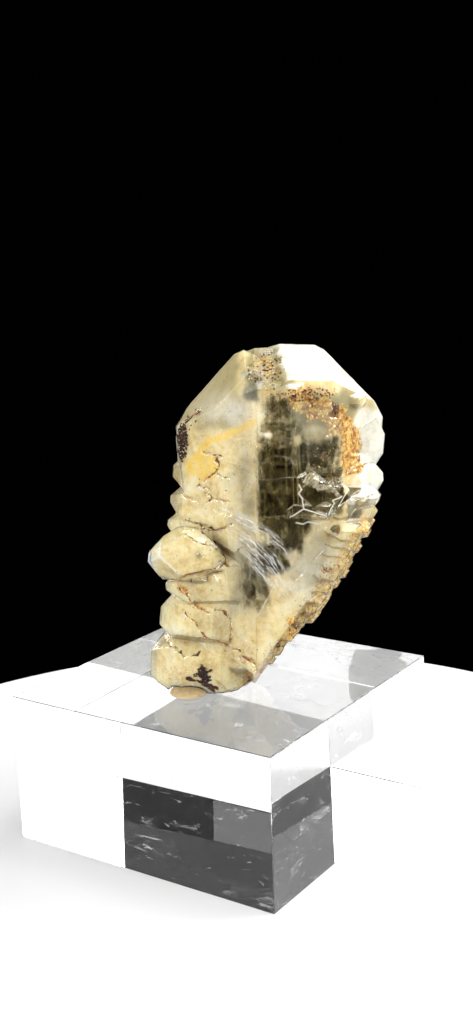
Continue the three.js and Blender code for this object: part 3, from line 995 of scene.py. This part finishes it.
def veil(name, line, width, seed):
    """A thin ragged white sheet under the crystal's front, along a line."""
    line = np.array(line)
    reach = np.concatenate([[0], np.cumsum(np.linalg.norm(np.diff(line, axis=0), axis=1))])
    distance = np.linspace(0, reach[-1], VEIL_ROWS)
    x, z = np.interp(distance, reach, line[:, 0]), np.interp(distance, reach, line[:, 1])
    points, along, across, body = [], [], [], []
    for row in range(VEIL_ROWS):
        share = row / (VEIL_ROWS - 1)
        arch = math.sin(math.pi * share)
        bend = 0.5 * noise.noise(Vector((distance[row] * 0.4, seed, 0)))
        for column in range(VEIL_COLUMNS):
            side = 2 * column / (VEIL_COLUMNS - 1) - 1
            out = width * side * (0.5 + 0.5 * arch) + bend
            place, outward = surface_at(x[row] + ACROSS_VEILS[0] * out, z[row] + ACROSS_VEILS[1] * out)
            points.append(place - outward * VEIL_DEPTH)
            along.append(distance[row] * 0.45 + seed)
            across.append(out * 2.6)
            body.append((1 - side * side) * arch ** 0.4)
    faces = [
        (row + column, row + column + 1, row + column + 1 + VEIL_COLUMNS, row + column + VEIL_COLUMNS)
        for row in range(0, (VEIL_ROWS - 1) * VEIL_COLUMNS, VEIL_COLUMNS)
        for column in range(VEIL_COLUMNS - 1)
    ]
    piece = mesh_object(name, moved(np.array(points), to_row), faces, smooth_angle=60)
    set_attribute(piece, "along", along)
    set_attribute(piece, "across", across)
    set_attribute(piece, "body", body)
    return piece


veil_look = veil_material()
for name, line, width, seed in VEILS:
    dress(veil(name, line, width, seed), veil_look)


# ---- tack and block ----

def tack_material():
    """Matt tan putty, unevenly pressed."""
    m = Material("tack_putty")
    colour = m.ramp(m.noise(m.place(), 1.2, 5.0), (0.3, (0.42, 0.30, 0.15)), (0.7, (0.66, 0.52, 0.30)))
    m.principled({
        "Base Color": colour, "Roughness": 0.6,
        "Normal": m.bump(m.noise(m.place(), 0.5, 6.0), 0.5, 0.3),
    })
    return m.data


BLOCK_INSET = Vector((0.02, 0.02, 0.02)) * MM
BLOCK_ROUNDING = 0.14 * MM


def acrylic_material():
    """Clear acrylic with faint wiping marks, gathered in clouds."""
    m = Material("clear_acrylic")
    wipes = m.noise(m.place((4.0, 4.0, 1.2)), 1.3, 7.0, 0.72, 1.4)
    cloud = m.noise(m.place(), 9.0, 3.0)
    marks = m.maths("ADD", wipes, m.span(cloud, 0.35, 0.65, -0.12, 0.06))
    hairs = m.span(marks, 0.585, 0.72, 0.0, 0.36)
    m.glass({
        "Base Color": (1.0, 1.0, 1.0), "Roughness": m.span(wipes, 0.5, 0.8, 0.0, 0.05),
        "IOR": ACRYLIC_IOR, "Transmission Weight": m.maths("SUBTRACT", 1.0, hairs),
    }, (0.75, 0.755, 0.75))
    return m.data


def acrylic_block():
    """The block with its polished edges finely rounded."""
    low, high = BLOCK_LOW + BLOCK_INSET, BLOCK_HIGH - BLOCK_INSET
    shape = bmesh.new()
    bmesh.ops.create_cube(shape, size=1.0)
    for corner in shape.verts:
        corner.co = [low[axis] if corner.co[axis] < 0 else high[axis] for axis in range(3)]
    bmesh.ops.bevel(
        shape, geom=list(shape.edges), offset=BLOCK_ROUNDING, segments=3, profile=0.5, affect="EDGES",
    )
    mesh = bpy.data.meshes.new("polished_block")
    shape.to_mesh(mesh)
    shape.free()
    piece = bpy.data.objects.new("polished_block", mesh)
    bpy.context.scene.collection.objects.link(piece)
    return piece


tack_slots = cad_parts["mineral_tack"].data.materials
tack_slots.clear()
tack_slots.append(tack_material())
dress(acrylic_block(), acrylic_material(), "acrylic_block")


# ---- stage ----

FLOOR_RADIUS = 84.5 * MM
FLOOR_TOP = -0.02 * MM
FLOOR_UNDERSIDE = -2 * MM
FLOOR_SIDES = 180
FLOOR_GREY = 0.64


def floor_disc():
    """The pale round table that the block stands on."""
    ring = [
        (FLOOR_RADIUS * math.cos(angle), FLOOR_RADIUS * math.sin(angle))
        for angle in np.linspace(0, 2 * math.pi, FLOOR_SIDES, endpoint=False)
    ]
    top = [(x, y, FLOOR_TOP) for x, y in ring]
    under = [(x, y, FLOOR_UNDERSIDE) for x, y in ring]
    n = FLOOR_SIDES
    faces = [tuple(range(n)), tuple(reversed(range(n, 2 * n)))]
    faces += [(i + n, (i + 1) % n + n, (i + 1) % n, i) for i in range(n)]
    floor = mesh_object("floor", top + under, faces)
    m = Material("pale_floor")
    m.principled({"Base Color": (FLOOR_GREY, FLOOR_GREY, FLOOR_GREY), "Roughness": 0.6})
    floor.data.materials.append(m.data)


floor_disc()

# Solved from the block's corners in the photograph.
CAMERA_AZIMUTH = math.radians(34.19)
CAMERA_PITCH = math.radians(13.22)
CAMERA_ROLL = math.radians(-1.914)
CAMERA_PLACE = Vector((123.2, -176.0, 103.7)) * MM
LENS_MM = 47.31
SENSOR_MM = 36
NEAREST_SEEN = 5 * MM


def set_up_camera():
    """The photograph's viewing angle."""
    data = bpy.data.cameras.new("camera")
    data.lens = LENS_MM
    data.sensor_width = SENSOR_MM
    data.clip_start = NEAREST_SEEN
    placed = bpy.data.objects.new("camera", data)
    bpy.context.scene.collection.objects.link(placed)
    placed.matrix_world = (
        Matrix.Translation(CAMERA_PLACE)
        @ Matrix.Rotation(CAMERA_AZIMUTH, 4, "Z")
        @ Matrix.Rotation(math.radians(90) - CAMERA_PITCH, 4, "X")
        @ Matrix.Rotation(CAMERA_ROLL, 4, "Z")
    )
    bpy.context.scene.camera = placed


set_up_camera()


def softbox(name, at, towards, size, power):
    """A white rectangular lamp, with its size in metres and its power in watts.

    `at` and `towards` are metres right, away and up from the block, as the camera sees it.
    """
    turn = Matrix.Rotation(CAMERA_AZIMUTH, 3, "Z")
    place, target = turn @ Vector(at), turn @ Vector(towards)
    data = bpy.data.lights.new(name, "AREA")
    data.shape = "RECTANGLE"
    data.size, data.size_y = size
    data.energy = power
    lamp = bpy.data.objects.new(name, data)
    bpy.context.scene.collection.objects.link(lamp)
    lamp.location = place
    lamp.rotation_euler = (target - place).to_track_quat("-Z", "Y").to_euler()


# The strongest lamps are above and to the right, where the photograph's white faces look.
softbox("top_light", (0.20, 0.03, 0.54), (0, 0, 0.05), (0.26, 0.26), 2.2)
softbox("left_light", (-0.42, -0.20, 0.23), (0, 0, 0.03), (0.34, 0.34), 1.1)
softbox("front_light", (-0.30, -0.42, 0.13), (0, 0, 0.05), (0.25, 0.25), 1.5)
softbox("right_light", (0.42, 0.105, 0.22), (0, 0, 0.03), (0.3, 0.3), 2.9)
softbox("edge_light", (-0.42, 0.24, 0.17), (0, 0, 0.05), (0.12, 0.22), 0.9)
softbox("fill_light", (0.28, -0.40, 0.20), (0, 0, 0.05), (0.25, 0.25), 1.6)

# A black surrounding, as in the photograph.
world = bpy.data.worlds.new("world")
world.use_nodes = True
world.node_tree.nodes["Background"].inputs["Color"].default_value = (0, 0, 0, 1)
bpy.context.scene.world = world

scene = bpy.context.scene
scene.view_settings.view_transform = "Standard"
scene.view_settings.look = "Medium High Contrast"
# Enough bounces to see through the crystal and the block.
scene.cycles.max_bounces = 16
scene.cycles.transmission_bounces = 14
scene.cycles.transparent_max_bounces = 24
scene.cycles.glossy_bounces = 6
scene.cycles.diffuse_bounces = 3
scene.cycles.sample_clamp_indirect = 6
# The clear materials already let the lamps through, so caustics would light things twice.
scene.cycles.caustics_refractive = False
scene.cycles.caustics_reflective = False
